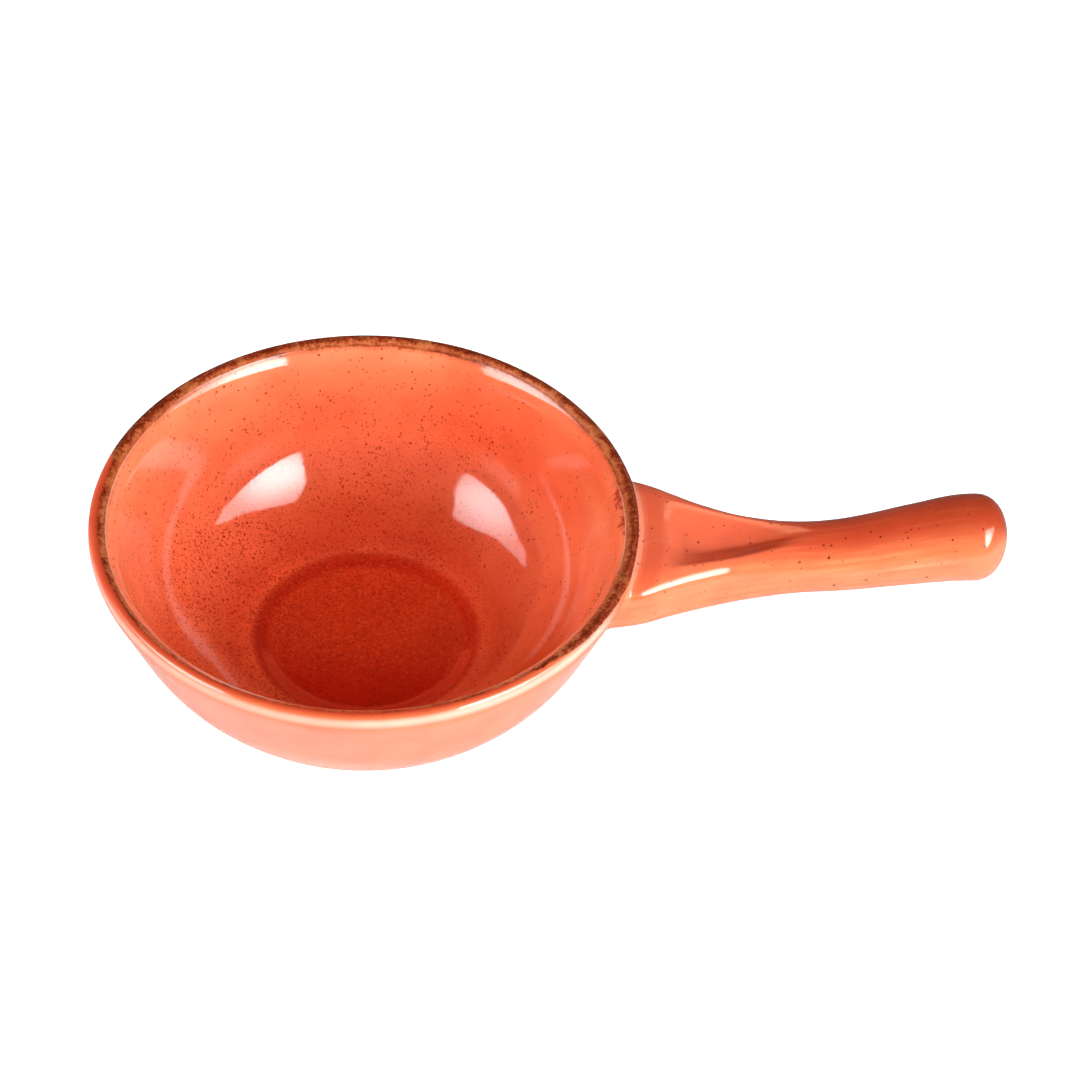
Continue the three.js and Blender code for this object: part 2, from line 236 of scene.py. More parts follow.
def add(kind, inputs=(), tree=None, **settings):
    """A shader node with its settings, and with its inputs given as values or as links.

    It joins the tree that its first link comes from. Only a node without links is told its tree."""
    inputs = dict(inputs)
    if tree is None:
        tree = next(v for v in inputs.values() if isinstance(v, bpy.types.NodeSocket)).id_data
    node = tree.nodes.new("ShaderNode" + kind)
    for key, value in settings.items():
        setattr(node, key, value)
    for key, value in inputs.items():
        if isinstance(value, bpy.types.NodeSocket):
            tree.links.new(value, node.inputs[key])
        else:
            node.inputs[key].default_value = value
    return node


def work(operation, *values):
    """The result of one sum on numbers or sockets."""
    return add("Math", enumerate(values), operation=operation).outputs[0]


def vector(operation, *values, result=0):
    """One sum on places or directions. Result 0 is one of them too, and result 1 a number."""
    return add("VectorMath", enumerate(values), operation=operation).outputs[result]


def times(first, *others):
    """Shares multiplied together."""
    for other in others:
        first = work("MULTIPLY", first, other)
    return first


def between(share, low, high):
    """A number that goes from low to high with a share."""
    return work("MULTIPLY_ADD", share, high - low, low)


def fade(value, start, end):
    """0 before start and 1 after end, with a soft passage; start may be above end."""
    if start > end:
        return work("SUBTRACT", 1.0, fade(value, end, start))
    node = add("MapRange", {"Value": value, "From Min": start, "From Max": end},
               interpolation_type="SMOOTHSTEP")
    return node.outputs[0]


def grain(place, length, detail=2.0, roughness=0.5, kind="Fac"):
    """Soft noise from 0 to 1 whose lumps are about a length across, in millimetres."""
    node = add("TexNoise", {"Vector": place, "Scale": 1 / (length * MM), "Detail": detail,
                            "Roughness": roughness})
    return node.outputs[kind]


def blended(share, under, over, kind="MIX"):
    """One colour laid over another."""
    return add("Mix", {0: share, 6: under, 7: over}, data_type="RGBA", blend_type=kind).outputs[2]


def tone(red, green, blue):
    """A colour read as it shows on a screen, 0 to 255, in the linear values that shaders use."""
    return (*[c / 12.92 if c <= 0.04045 else ((c + 0.055) / 1.055) ** 2.4
              for c in (red / 255, green / 255, blue / 255)], 1.0)


def tinted(under, share, tint, kind="MIX"):
    """A colour with a share of a tint laid over it."""
    return blended(share, under, tone(*tint), kind)


def new_finish(name):
    """An empty material, and the place on the object that its nodes start from."""
    finish = bpy.data.materials.new(name)
    finish.use_nodes = True
    finish.node_tree.nodes.clear()
    return finish, add("TexCoord", tree=finish.node_tree).outputs["Object"]


def surfaced(colour, normal, roughness, refraction):
    """The surface of a finish, with its colour, normal and gloss."""
    surface = add("BsdfPrincipled", {
        "Base Color": colour, "Normal": normal, "Roughness": roughness, "IOR": refraction})
    add("OutputMaterial", {"Surface": surface.outputs[0]})


def clay_finish(name, pale, dark):
    """Bare fired clay: matt, with fine grit, iron spots and a slightly torn surface."""
    finish, place = new_finish(name)
    clouds = fade(grain(place, 6.0, 4.0), 0.3, 0.7)
    colour = tinted(tone(*dark), clouds, pale)
    grit = grain(place, 0.5, 3.0, 0.7)
    colour = tinted(colour, times(fade(grit, 0.5, 0.75), 0.35), CLAY_TINTS["grit"])
    spots = add("TexVoronoi", {"Vector": place, "Scale": 1 / (2.1 * MM)}).outputs["Distance"]
    colour = tinted(colour, times(fade(spots, 0.14, 0.08), 0.7), CLAY_TINTS["iron"])
    bump = add("Bump", {"Height": grit, "Distance": 0.05 * MM, "Strength": 0.6})
    surfaced(colour, bump.outputs[0], *CLAY_GLOSS)
    return finish


def bare_foot():
    """The bare clay from the foot ring's outer side, round under it, to the middle of the recess."""
    outer, inner = FOOT["radius"], FOOT["radius"] - FOOT["width"]
    top = (outer + FOOT["outer_lean"], FOOT["height"])
    rest = (outer - FOOT["outer_lean"], 0), (inner, 0)
    recess = (inner - FOOT["inner_lean"], FOOT["recess"])
    line = [top] + softened(top, rest[0], rest[1], FOOT["outer_edge"])
    line += softened(rest[0], rest[1], recess, FOOT["inner_edge"])
    line += softened(rest[1], recess, (0, FOOT["recess"]), FOOT["corner"])
    return divided(line + [(0, FOOT["recess"])], BARE_STEP)


body_outline = covered(skin_length, GLAZE + COAT_GAP)
body_outline += [(radius, height, skin_end, (0, 0)) for radius, height in bare_foot()]
bowl_clay = turned("bowl_clay", body_outline, CLAY_STEPS, closed=False)
bowl_clay.data.materials.append(clay_finish("bare clay", CLAY_TINTS["pale"], CLAY_TINTS["dark"]))
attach(bowl_clay, "root")
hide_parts("bowl_body")

# Glaze on the bowl
# A glossy orange glaze, poured and dipped, then fired. It runs thin and pale on the upper
# wall and over edges, and pools to a deep red in the well. Its colour also carries painted
# shade down the wall and painted highlights along the lip. Iron specks burn through it.
# The lip was brushed with brown oxide, which broke into mottles and small runs.
BOWL_STEPS = 240  # round the bowl, finer than the clay
BAND_INNER_DROP = 1.3  # the band's inner seam, below the top of the lip
BAND_PAST_TOP = 0.5  # the band's outer seam, past the top of the lip
SEAM_STRIP = 0.02  # narrow strip that keeps the gloss even up to a seam
CLEAR = 0.05  # no other outline point lies this close to a seam
BEAD = {"past_seam": 0.45, "height": 0.045, "half_width": 0.22, "reach": 0.6, "step": 0.06}
GLAZE_GLOSS = (0.07, 1.63)  # roughness and index of refraction
BAND_ROUGHNESS = 0.2
SPECK_TEAR = (0.45, 1.1)  # lumps that tear a speck's outline, and how far
OTHER_CELLS = 0.37  # shift that gives larger specks cells of their own
lip_top = skin_length[skin[:, 1].argmax()]
band_from = next(length for (_, height), length in zip(skin, skin_length)
                 if height > RIM_HEIGHT - BAND_INNER_DROP)
band_to = lip_top + BAND_PAST_TOP
bead_at = band_from + BEAD["past_seam"]


def coat(name, start, end):
    """One coat of glaze between two lengths along the outline, closed round its back."""
    def inside(lengths):
        return [length for length in lengths if start + CLEAR < length < end - CLEAR]
    lengths = inside(skin_length)
    fine = inside(np.arange(bead_at - BEAD["reach"], bead_at + BEAD["reach"], BEAD["step"]))
    ends = [start, start + SEAM_STRIP], [end - SEAM_STRIP, end]
    front = covered(sorted(ends[0] + lengths + fine + ends[1]), 0)
    for i, (radius, height, length, facing) in enumerate(front):
        bead = BEAD["height"] * math.exp(-((length - bead_at) / BEAD["half_width"]) ** 2)
        front[i] = (radius + facing[0] * bead, height + facing[1] * bead, length, facing)
    back = covered(ends[0][:1] + lengths[::2] + ends[1][1:], GLAZE)[::-1]
    return turned(name, front + back, BOWL_STEPS, closed=start > 0)


def speckled(place, cell, size, share, seed=0.0):
    """Small burnt specks, one to a cell at most, in a share of the cells. 1 inside a speck."""
    torn = vector("ADD", grain(place, SPECK_TEAR[0], 1.0, kind="Color"), (-0.5, -0.5, -0.5))
    torn = vector("ADD", place, vector("MULTIPLY", torn, (SPECK_TEAR[1] * MM,) * 3))
    moved = vector("ADD", torn, (seed, seed * 0.7, seed * 1.3))
    cells = add("TexVoronoi", {"Vector": moved, "Scale": 1 / (cell * MM)})
    chance = add("SeparateColor", {"Color": cells.outputs["Color"]})
    chosen = work("LESS_THAN", chance.outputs[0], share)
    limit = between(chance.outputs[1], size * 0.4, size)
    edge = work("SUBTRACT", limit, cells.outputs["Distance"])
    return times(chosen, fade(edge, -0.012, 0.03))


def orange_peel(place, height):
    """The slight ripple of a fired glaze, with a height map laid on top."""
    both = work("ADD", grain(place, 2.2, 1.0), height)
    return add("Bump", {"Height": both, "Distance": 0.02 * MM, "Strength": 0.7}).outputs[0]


# Tones along the outline: millimetres from the middle of the well, and the colour on a screen.
# Down the wall they deepen, partly where the glaze pools and partly as painted shade, and the
# side walls' tones are painted paler than the far wall's as painted light.
WELL_TONES = [
    (0.0, (200, 54, 18)), (25.0, (202, 57, 23)), (27.2, (194, 42, 12)), (29.0, (202, 50, 20))]
FAR_TONES = WELL_TONES + [
    (31.0, (206, 74, 44)), (36.0, (199, 66, 36)), (45.0, (199, 74, 40)), (52.0, (212, 89, 54)),
    (58.0, (224, 97, 64)), (66.0, (244, 112, 72)), (80.0, (245, 124, 81)), (90.0, (249, 138, 95))]
SIDE_LIT_TONES = WELL_TONES + [
    (31.0, (230, 84, 45)), (36.0, (218, 77, 42)), (42.0, (227, 91, 56)), (52.0, (236, 101, 63)),
    (66.0, (246, 118, 78)), (80.0, (249, 134, 90)), (90.0, (250, 142, 98))]
# Deeper at the back and left, paler at the front: partly thinner glaze, partly painted light on the
# front.
OUTSIDE_DEEP = (250, 107, 75)
OUTSIDE_THIN_LIT = (232, 123, 78)
# Tones of the brushed oxide, from where it lies thin to where it lies thick.
BROWN_TONES = [
    (0.0, (160, 70, 38)), (0.13, (196, 104, 62)), (0.28, (188, 92, 50)), (0.44, (146, 58, 27)),
    (0.6, (106, 34, 13)), (0.72, (156, 62, 34)), (0.88, (122, 44, 20))]
TINTS = {
    "clouds": (205, 62, 30),  # broad uneven patches in the pour
    "deepened": (213, 176, 122),  # painted shade, deeper low on the near wall under the lip
    "near_well": (244, 160, 120),  # redder, in the near half of the well
    "thick": (255, 224, 216),  # a thicker pour high on the far right
    "by_handle": (252, 224, 214),
    "broken_and_highlight": (252, 226, 204),  # cream on the near shoulder of the lip: glaze thin over the edge, and a painted highlight
    "stained": (208, 80, 46),  # a tinge of oxide next to the band
    "specks": (150, 28, 6),
    "spray": (140, 28, 8),
    "well_dark": (140, 20, 6),
    "well_pale": (232, 86, 46),
    "ring": (124, 24, 8),  # dark haze round the edge of the well
    "fringe": (196, 70, 38),
    "drips": (182, 46, 20),
    "fleck_dark": (92, 32, 12),
    "fleck_pale": (212, 126, 76),
    "blot_dark": (186, 150, 130),
    "blot_pale": (206, 122, 72),
    # a painted highlight on the raised bead, which is also bare of oxide
    "bead": (246, 172, 142)}


def ramp(value, stops):
    """A colour that runs through the given stops."""
    node = add("ValToRGB", {"Fac": value})
    elements = node.color_ramp.elements
    while len(elements) < len(stops):
        elements.new(0.5)
    for element, (position, shade) in zip(elements, stops):
        element.position = position
        element.color = tone(*shade)
    return node.outputs[0]


def bearing(unit, degrees):
    """1 on the side at a bearing from the handle, 0 a quarter turn from it, -1 across from it."""
    way = math.radians(degrees)
    return vector("DOT_PRODUCT", unit, (math.cos(way), math.sin(way), 0), result=1)


def told(place, layer):
    """What a layer of the mesh tells about a place."""
    return add("Attribute", tree=place.id_data, attribute_name=layer).outputs["Fac"]


def bowl_spot(place):
    """Sockets that tell where on the bowl a place lies."""
    axes = add("SeparateXYZ", {0: place})
    flat = add("CombineXYZ", {0: axes.outputs[0], 1: axes.outputs[1], 2: 0.0}).outputs[0]
    unit = vector("NORMALIZE", flat)
    along = told(place, "skin_mm")
    outside = fade(along, lip_top - 1.5, lip_top + 1.5)
    return SimpleNamespace(
        place=place, x=axes.outputs[0], y=axes.outputs[1], along=along, unit=unit, outside=outside,
        inner=work("SUBTRACT", 1.0, times(outside, 0.9)),
        to_handle=bearing(unit, 0), to_back=bearing(unit, 90),
        past_bead=work("SUBTRACT", along, bead_at))


def inside_colour(spot):
    """Red in the well and orange up the wall, deepened partly by pooled glaze and partly by painted
    shade, with the sides painted paler as painted light, and painted shade deeper low on the near
    wall under the lip.
    """
    share = work("DIVIDE", spot.along, 100.0)
    side, far = (ramp(share, [(length / 100, shade) for length, shade in tones])
                 for tones in (SIDE_LIT_TONES, FAR_TONES))
    colour = blended(fade(spot.to_back, 0.6, 0.98), side, far)
    # Painted shade low on the near wall, which the lip shades.
    deepened = times(fade(spot.to_back, 0.3, -0.4), fade(spot.along, 70.0, 52.0),
                   fade(spot.along, 31.0, 46.0), between(fade(spot.to_handle, -0.6, 0.3), 0.6, 1.0))
    near_well = times(fade(spot.y, 0.004, -0.022), fade(spot.along, 31.0, 27.0))
    thick = times(fade(bearing(spot.unit, 48), 0.82, 0.97), fade(spot.along, 58.0, 72.0))
    by_handle = times(fade(spot.to_handle, 0.75, 0.95), fade(spot.along, 78.0, 86.0))
    for tint, share in (("deepened", deepened), ("near_well", near_well), ("thick", thick),
                        ("by_handle", by_handle)):
        colour = tinted(colour, share, TINTS[tint], "MULTIPLY")
    return colour


def outside_colour(spot):
    """Paler towards the front and the handle, where the coat is thinner and painted light lightens
    the lit front.
    """
    to_front = work("MULTIPLY_ADD", spot.x, 0.45, times(spot.y, -1.0))
    return blended(fade(to_front, -0.004, 0.024), tone(*OUTSIDE_DEEP), tone(*OUTSIDE_THIN_LIT))


def clouded(place, colour):
    """Broad patches where the pour was uneven."""
    clouds = fade(grain(place, 11.0, 3.0), 0.3, 0.7)
    return tinted(colour, times(clouds, 0.16), TINTS["clouds"], "MULTIPLY")


def lip_washes(spot, colour):
    """Cream on the near shoulder, where the glaze broke thin and a highlight is painted, and a tinge
    of oxide by the band.
    """
    # Painted highlight along the near shoulder of the lip, where the glaze also runs thin.
    broken_and_highlight = times(fade(spot.along, lip_top + 1.1, lip_top + 2.4),
                   fade(spot.along, lip_top + 5.0, lip_top + 2.8),
                   fade(spot.to_back, -0.1, -0.4), fade(spot.to_handle, 0.95, 0.84),
                   between(fade(spot.to_handle, -0.3, 0.5), 0.47, 0.67))
    colour = tinted(colour, broken_and_highlight, TINTS["broken_and_highlight"])
    stained = times(fade(spot.past_bead, 0.8, 1.4), fade(spot.past_bead, 4.2, 2.0),
                    fade(spot.to_handle, 0.8, 0.5), 0.85)
    return tinted(colour, stained, TINTS["stained"])


def burnt_iron(spot, colour):
    """Iron specks and a finer spray, most of them low on the wall, and few by the handle."""
    depth = fade(spot.along, 88.0, 40.0)
    crowd = between(fade(grain(spot.place, 8.0, 2.0), 0.3, 0.7), 0.6, 1.4)
    low_left = times(fade(spot.to_handle, -0.3, -0.9), fade(spot.along, 66.0, 50.0))
    crowd = work("MULTIPLY_ADD", low_left, 0.6, crowd)
    crowd = times(crowd, between(fade(spot.to_handle, 0.4, 0.85), 1.0, 0.3))
    small = speckled(spot.place, 0.95, 0.33, times(between(depth, 0.22, 1.0), crowd))
    large = speckled(spot.place, 1.7, 0.24, times(between(depth, 0.4, 0.9), crowd), OTHER_CELLS)
    specks = times(work("MAXIMUM", small, large), spot.inner)
    spray = fade(grain(spot.place, 0.6, 3.0, 0.65), 0.55, 0.64)
    spray = times(spray, crowd, spot.inner, depth, 0.55)
    colour = tinted(colour, spray, TINTS["spray"])
    return tinted(colour, times(specks, 0.82), TINTS["specks"]), specks


def well_mottle(spot, colour):
    """Dark and pale mottles in the red of the well, and a dark haze round its edge."""
    mottle = grain(spot.place, 0.8, 3.0, 0.65)
    in_well = fade(spot.along, 44.0, 26.0)
    dark = times(fade(mottle, 0.52, 0.3), in_well, 0.5)
    colour = tinted(colour, dark, TINTS["well_dark"])
    pale = times(fade(mottle, 0.55, 0.72), in_well, fade(spot.y, -0.024, -0.004), 0.5)
    colour = tinted(colour, pale, TINTS["well_pale"])
    off_ring = work("ABSOLUTE", work("SUBTRACT", spot.along, 28.2))
    haze = times(fade(off_ring, 3.6, 0.8), fade(bearing(spot.unit, 146.5), -0.4, 0.75),
                 fade(grain(spot.place, 0.7, 3.0, 0.75), 0.36, 0.6), 0.55)
    return tinted(colour, haze, TINTS["ring"])


def find_torn_edge(spot):
    """Adds to the spot how far it lies past the band's inner edge, and what tears that edge."""
    # Noise that is read at a place with little rise is drawn out up the wall.
    around = vector("MULTIPLY", spot.unit, (RIM_RADIUS * MM,) * 3)
    rise = add("CombineXYZ", {2: times(spot.along, 0.3 * MM)}).outputs[0]
    spot.stretched = vector("ADD", around, rise)
    runs = work("SUBTRACT", grain(spot.stretched, 5.5, 2.0), 0.5)
    teeth = work("SUBTRACT", grain(spot.stretched, 0.7, 2.0, 0.7), 0.5)
    spot.ragged = work("MULTIPLY_ADD", runs, 1.1, times(teeth, 0.9))
    wander = between(fade(bearing(spot.unit, 120), -0.8, 0.3), -0.4, 0.5)
    spot.past_edge = work("ADD", spot.past_bead, wander)


def oxide_runs(spot, colour):
    """A rusty fringe inside the band, and short drips of oxide by the handle."""
    fringe = fade(work("MULTIPLY_ADD", spot.ragged, 1.6, spot.past_edge), -1.1, -0.1)
    colour = tinted(colour, times(fringe, spot.inner, 0.4), TINTS["fringe"])
    tufts = times(fade(bearing(spot.unit, 6.9), 0.985, 0.998),
                  fade(grain(spot.stretched, 1.3, 2.0, 0.7), 0.42, 0.58))
    drips = fade(work("MULTIPLY_ADD", tufts, 3.2, spot.past_bead), 0.0, 0.7)
    return tinted(colour, times(drips, spot.inner, 0.85), TINTS["drips"])


def under_band(spot):
    """1 under the brushed band, which is wider by the handle and at the back, fainter in front."""
    inner_edge = fade(work("ADD", spot.past_edge, spot.ragged), -0.15, 0.25)
    width = between(fade(spot.to_handle, 0.6, 0.85), 1.75, 3.85)
    width = work("MULTIPLY_ADD", fade(spot.to_handle, 0.85, 0.95), 0.5, width)
    width = work("MULTIPLY_ADD", fade(spot.to_back, 0.12, 0.5), 5.0, width)
    left = work("MULTIPLY_ADD", spot.ragged, 1.2, work("SUBTRACT", width, spot.past_bead))
    faint = fade(bearing(spot.unit, 258), 0.8, 0.95)
    return times(inner_edge, fade(left, -0.2, 0.25), between(faint, 1.0, 0.7))


def brown_mottle(spot):
    """The oxide's colour, broken into lumps, flecks and longer blots."""
    lumps = work("SUBTRACT", grain(spot.place, 3.2, 4.0, 0.62), 0.5)
    sooner = times(fade(bearing(spot.unit, 160), 0.2, 0.8), 0.12)
    across = work("MULTIPLY_ADD", spot.past_bead, 0.25, work("ADD", lumps, sooner))
    colour = ramp(across, BROWN_TONES)
    flecks = grain(spot.place, 0.8, 3.0, 0.65)
    blots = grain(spot.stretched, 7.0, 3.0, 0.6)
    for tint, noise_share, start, end, strength, kind in (
            ("fleck_dark", flecks, 0.5, 0.66, 0.6, "MIX"),
            ("fleck_pale", flecks, 0.46, 0.32, 0.4, "MIX"),
            ("blot_dark", blots, 0.52, 0.64, 0.6, "MULTIPLY"),
            ("blot_pale", blots, 0.46, 0.34, 0.35, "MIX")):
        colour = tinted(colour, times(fade(noise_share, start, end), strength), TINTS[tint], kind)
    return colour


def pale_bead_highlight(spot, colour):
    """The raised bead, painted pale at the left and by the handle: bare of oxide there, and a painted
    highlight along it.
    """
    on_bead = fade(work("ABSOLUTE", work("ADD", spot.past_edge, 0.15)), 0.34, 0.08)
    at_left = times(fade(spot.to_handle, -0.1, -0.5), fade(spot.to_back, 0.7, 0.1))
    bare = work("MAXIMUM", at_left, fade(spot.to_handle, 0.96, 0.99))
    return tinted(colour, times(on_bead, bare, 0.6), TINTS["bead"])


def bowl_glaze(name):
    """The bowl's glaze, told apart along the outline by the skin_mm attribute."""
    finish, place = new_finish(name)
    spot = bowl_spot(place)
    colour = blended(spot.outside, inside_colour(spot), outside_colour(spot))
    colour = clouded(spot.place, lip_washes(spot, colour))
    colour, specks = burnt_iron(spot, colour)
    colour = well_mottle(spot, colour)
    find_torn_edge(spot)
    colour = oxide_runs(spot, colour)
    band = under_band(spot)
    colour = blended(band, colour, brown_mottle(spot))
    colour = pale_bead_highlight(spot, colour)
    ripple = orange_peel(spot.place, times(specks, -0.08))
    surfaced(colour, ripple, between(band, GLAZE_GLOSS[0], BAND_ROUGHNESS), GLAZE_GLOSS[1])
    return finish


finish = bowl_glaze("bowl glaze")
for name, start, end, node, slot in (
        ("inside_coat", 0.0, band_from, "inner_glaze", "inside_glaze"),
        ("lip_band", band_from, band_to, "rim_band", "rim_glaze"),
        ("outside_coat", band_to, skin_end, "outer_glaze", "outside_glaze")):
    piece = coat(name, start, end)
    piece.data.materials.append(finish)
    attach(piece, "root")
    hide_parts(node)

# Handle
# A hollow cast stick handle, luted to the wall with slip and dipped in the outside glaze.
# Its root is a wide slab level with the lip, its grip swells to a rounded end, and a thumb
# scoop is pressed into the top of the root.
REACH = 162.4  # the tip, from the bowl's axis
ROOT_HEIGHT = 43.1  # centre of the root above the table
ROOT_SIZE = np.array((42.6, 15.8))  # width and thickness
NECK_SIZE = np.array((19.2, 17.0))
GRIP_SIZE = np.array((23.0, 21.4))
RISE = 12.3  # centre of the tip above the centre of the root
TIP_ROUNDING = 8.5
TIP_SQUARE = 2.3  # 2 is round, and more is squarer
ROOT_SQUARE, GRIP_SQUARE = 4.2, 2.0
SCOOP = {"start": 75.4, "length": 39.9, "width": 25.6, "depth": 4.5, "crest": 0.16,
         "taper": 0.874, "fullness": 1.05}
# Shares of the length from lip to tip, of the widening to the root, to the grip, and of the rise.
HANDLE_LAW = [(-0.15, 1.3, 0, 0), (0, 1, 0, 0), (0.087, 0.684, 0, 0), (0.173, 0.385, 0, -0.01),
              (0.281, 0.12, 0, 0.01), (0.411, 0, 0, 0.1), (0.563, 0, 0.12, 0.28),
              (0.736, 0, 0.62, 0.66), (0.866, 0, 0.98, 0.93), (1, 0, 1, 1)]
HANDLE_TURNS = 176  # places round a ring
BODY_RINGS = 96
ROOT_CROWDING = 1.12  # above 1, rings lie closer at the root
TIP_RINGS = 16
FILLET = {"rings": 9, "top": 0.9, "below": 1.6}
TUCK = {"sweep": 0.93, "along": 0.25, "into": 0.2}  # how the fillet's edge runs on into the bowl
CLEAR_REACH = 84.0  # here the whole section stands clear of the bowl
WALL_MIDDLE = ((0, 30, 46.7), (36, 61.2, 67.8))  # heights and radii inside the bowl's wall
NEAR_RINGS = 40  # rings that know how far they stand off the bowl
FAR_OFF = 40.0  # the distance that the other rings are given
GRIP_MIDDLE = Vector((0.12, 0, 0.047))  # a place inside the handle, in metres
VENT = {"reach": 86.0, "height": 33.0, "radius": 1.5, "drill": 20.0, "smooth_up_to": 45.0}
HANDLE_TINTS = {
    # paler on the front and underside: thinner glaze, and painted light
    "thin": (228, 125, 80),
    "root": (238, 109, 75),
    # deeper glaze and painted shade, on top and on the far side
    "deep_and_shaded": (197, 73, 42),
    # painted shade, darker on top near the tip
    "tip": (236, 240, 236),
    "deepened": (220, 88, 56),  # redder on top, a little off the bowl
    "scoop_wall_shade": (168, 50, 16),  # painted shade on the scoop's near wall, which is also darker where the glaze ran together
    "thin_ridge_highlight": (255, 150, 112),  # paler along the scoop's far edge: glaze thin over it, and a painted highlight
    "wiped": (252, 156, 122),  # pale on top at the joint: glaze wiped thin there, and a painted highlight on the fillet
    "streak_pale": (248, 158, 112),
    "streak_dark": (238, 212, 196),
    "specks": (94, 22, 8)}
STREAK_TURN = 11.0  # radius of the grip, which spaces the streaks round it
# What the mesh tells the glaze: over the top, to the far side, mm off the bowl, depth in the scoop.
HANDLE_LAYERS = ("over_top", "to_side", "from_bowl", "in_scoop")


def handle_table():
    """Reach, centre height, half width and half thickness along one smooth curve."""
    length = REACH - RIM_RADIUS
    rows = []
    for along, to_root, to_grip, rise in HANDLE_LAW:
        size = NECK_SIZE + (ROOT_SIZE - NECK_SIZE) * (to_root, min(to_root, 1))
        size += (GRIP_SIZE - NECK_SIZE) * to_grip
        rows.append(np.array([RIM_RADIUS + length * along, ROOT_HEIGHT + RISE * rise, *size / 2]))
    rows = [2 * rows[0] - rows[1], *rows, 2 * rows[-1] - rows[-2]]
    table = []
    for before, a, b, after in zip(rows, rows[1:], rows[2:], rows[3:]):
        leaving, arriving = (b - before) / 2, (after - a) / 2
        for t in np.linspace(0, 1, 30, endpoint=False):
            table.append(a * (2 * t ** 3 - 3 * t ** 2 + 1) + leaving * (t ** 3 - 2 * t ** 2 + t)
                         + b * (3 * t ** 2 - 2 * t ** 3) + arriving * (t ** 3 - t ** 2))
    table.append(rows[-2])
    return np.array(table)


sections = handle_table()


def eased(value, start, end):
    """0 before start and 1 after end, with a soft passage."""
    t = min(max((value - start) / (end - start), 0), 1)
    return t * t * (3 - 2 * t)


def scooped(reach, side):
    """How far the thumb scoop lowers the top of the handle."""
    along = (reach - SCOOP["start"]) / SCOOP["length"]
    if not 0 < along < 1:
        return 0
    half = SCOOP["width"] / 2 * (1 - SCOOP["taper"] * along)
    across = min(abs(side) / half, 1)
    lengthwise = eased(along, 0, SCOOP["crest"]) * eased(1 - along, 0, 1 - SCOOP["crest"])
    return SCOOP["depth"] * lengthwise * (1 - across ** 2) ** SCOOP["fullness"]


def handle_place(reach, turn, closing=1.0):
    """A place on the handle's skin; the turn runs round the section from the +Y side over the top."""
    centre, half_width, half_thick = (np.interp(min(reach, REACH), sections[:, 0], sections[:, k])
                                      for k in (1, 2, 3))
    past_root = eased(reach, RIM_RADIUS, (RIM_RADIUS + REACH) / 2)
    square = ROOT_SQUARE + (GRIP_SQUARE - ROOT_SQUARE) * past_root
    c, s = math.cos(turn), math.sin(turn)
    side = half_width * math.copysign(abs(c) ** (2 / square), c) * closing
    lift = half_thick * math.copysign(abs(s) ** (2 / square), s) * closing
    dip = scooped(reach, side) if s > 0 else 0
    return np.array([reach, side, centre + lift - dip])


hull = skin[np.searchsorted(skin_length, band_from - 4):]


def off_bowl(place):
    """Distance from the bowl's outside, and the direction away from it."""
    flat = np.array([math.hypot(place[0], place[1]), place[2]])
    a, b = hull[:-1], hull[1:]
    run = b - a
    share = np.clip(((flat - a) * run).sum(1) / (run * run).sum(1), 0, 1)
    nearest = a + run * share[:, None]
    gaps = np.hypot(*(flat - nearest).T)
    i = int(gaps.argmin())
    facing = np.array([-run[i, 1], run[i, 0]]) / math.hypot(*run[i])
    distance = float((flat - nearest[i]) @ facing)
    out = np.array([place[0] / flat[0] * facing[0], place[1] / flat[0] * facing[0], facing[1]])
    return math.copysign(gaps[i], distance), out


def reach_off_bowl(turn, distance, halvings=18):
    """How far along the handle its skin stands at a given distance from the bowl."""
    start = handle_place(RIM_RADIUS - 3, turn)
    in_wall = np.interp(start[2], *WALL_MIDDLE)
    low, high = math.sqrt(in_wall ** 2 - start[1] ** 2), CLEAR_REACH
    for _ in range(halvings):
        middle = (low + high) / 2
        if off_bowl(handle_place(middle, turn))[0] < distance:
            low = middle
        else:
            high = middle
    return high


def handle_facing(reach, turn, step=0.02):
    """The direction in which the handle's skin faces, from a small step along it and round it."""
    forward = handle_place(reach + step, turn) - handle_place(reach - step, turn)
    round_it = handle_place(reach, turn + step) - handle_place(reach, turn - step)
    facing = np.cross(forward, round_it)
    facing /= np.linalg.norm(facing)
    centre = np.interp(reach, sections[:, 0], sections[:, 1])
    outwards = handle_place(reach, turn) - np.array([reach, 0, centre])
    return facing if facing @ outwards > 0 else -facing


def fillet_size(turn):
    """The slip is wiped to a small fillet on top and a fuller one at the sides and below."""
    return FILLET["top"] + (FILLET["below"] - FILLET["top"]) * eased(-math.sin(turn), -0.9, 0.2)


def fillet_place(turn, sweep):
    """A place on the fillet between handle and bowl; the sweep runs from 0 to a quarter turn."""
    size = fillet_size(turn)
    off = size * (1 - math.sin(sweep))
    reach = reach_off_bowl(turn, off)
    place = handle_place(reach, turn) + handle_facing(reach, turn) * size * (1 - math.cos(sweep))
    for _ in range(3):
        distance, out = off_bowl(place)
        place = place + out * (off - distance)
    return place


def fillet_rings(turns):
    """Rings of places from inside the bowl's skin up over the fillet."""
    quarter, count = math.pi / 2, FILLET["rings"]
    first = []
    for turn in turns:
        edge, inner = fillet_place(turn, quarter), fillet_place(turn, quarter * TUCK["sweep"])
        away = (edge - inner) / np.linalg.norm(edge - inner)
        first.append(edge + away * TUCK["along"] - off_bowl(edge)[1] * TUCK["into"])
    sweeps = [quarter * (1 - k / count) for k in range(count)]
    return [first] + [[fillet_place(turn, sweep) for turn in turns] for sweep in sweeps]


